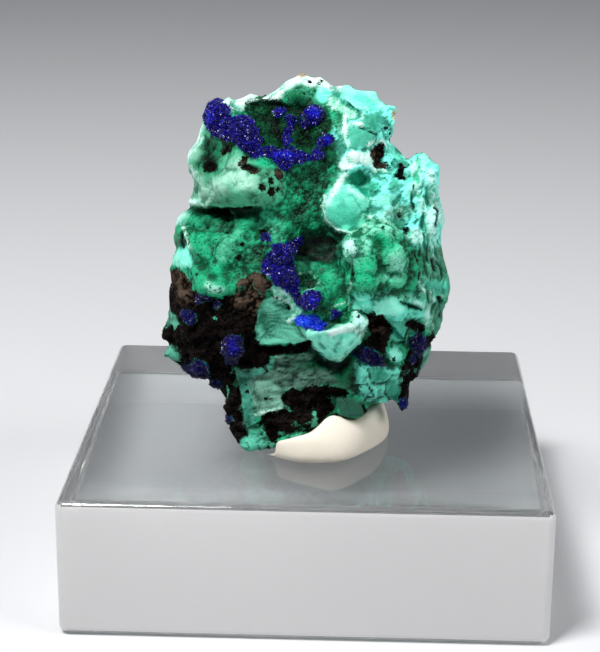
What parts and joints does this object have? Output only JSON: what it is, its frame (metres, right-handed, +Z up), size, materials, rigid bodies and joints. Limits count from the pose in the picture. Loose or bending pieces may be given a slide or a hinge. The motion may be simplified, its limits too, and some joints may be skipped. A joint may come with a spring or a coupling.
{
  "type": "azurite specimen",
  "caption": "Azurite with malachite and dark goethite grown together, held upright by putty on a square clear acrylic display block.",
  "frame": {"origin": "centre of the display block's underside", "axes": "+Z up through the block and the specimen, -Y towards the viewer of the specimen's front, +X to the viewer's right"},
  "size_m": [0.0318, 0.0318, 0.0339],
  "materials": {
    "copper_minerals": "rough natural stone: velvety and botryoidal green malachite, glassy deep-blue azurite crystals, dull dark-brown goethite",
    "mineral_tack": "soft hand-pressed cream-white putty, satin",
    "clear_acrylic": "clear cast acrylic, polished top and base, slightly milky sides and softly rounded edges"
  },
  "bodies": {
    "root": {"azurite_specimen": "copper_minerals", "putty": "mineral_tack", "display_block": "clear_acrylic"}
  },
  "joints": []
}
